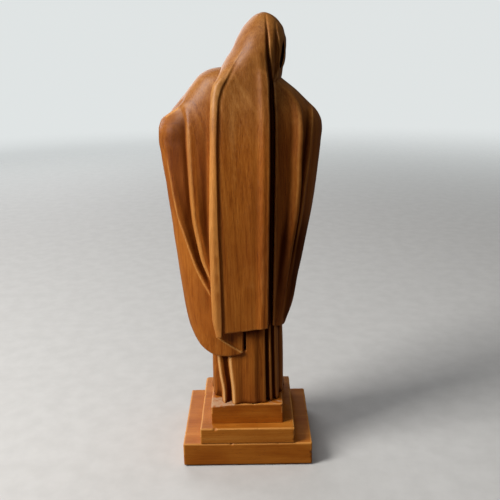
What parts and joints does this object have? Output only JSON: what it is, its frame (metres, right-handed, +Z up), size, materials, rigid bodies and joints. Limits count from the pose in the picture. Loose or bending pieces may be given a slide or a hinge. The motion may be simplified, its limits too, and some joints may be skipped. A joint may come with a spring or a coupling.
{
  "type": "madonna statue",
  "caption": "Carved wooden madonna statuette with veil, mantle and joined hands, standing on a three-tier stepped plinth.",
  "frame": {"origin": "centre of the plinth's underside, on the surface the statue stands on", "axes": "+Z up the figure; the figure faces -Y, so its back, which the picture shows, faces +Y, and its own left hand side is +X"},
  "size_m": [0.1434, 0.105, 0.4],
  "materials": {
    "carved_wood": "waxed satin, vertical grain, dark in the hollows",
    "plinth_wood": "waxed satin, level grain, softened edges",
    "dowel_wood": "plain turned beech",
    "screw_steel": "plain steel wood screw",
    "baize": "thin dark green baize"
  },
  "bodies": {
    "root": {"gown_block": "carved_wood", "mantle_left": "carved_wood", "mantle_right": "carved_wood", "veil_board": "carved_wood", "head": "carved_wood", "sleeve_left": "carved_wood", "sleeve_right": "carved_wood", "joined_hands": "carved_wood", "plinth_bottom_tier": "plinth_wood", "plinth_middle_tier": "plinth_wood", "plinth_top_tier": "plinth_wood", "baize_pad": "baize", "figure_dowels": "dowel_wood", "wing_pegs": "dowel_wood", "neck_peg": "dowel_wood", "hands_peg": "dowel_wood", "plinth_screws": "screw_steel"}
  },
  "joints": []
}
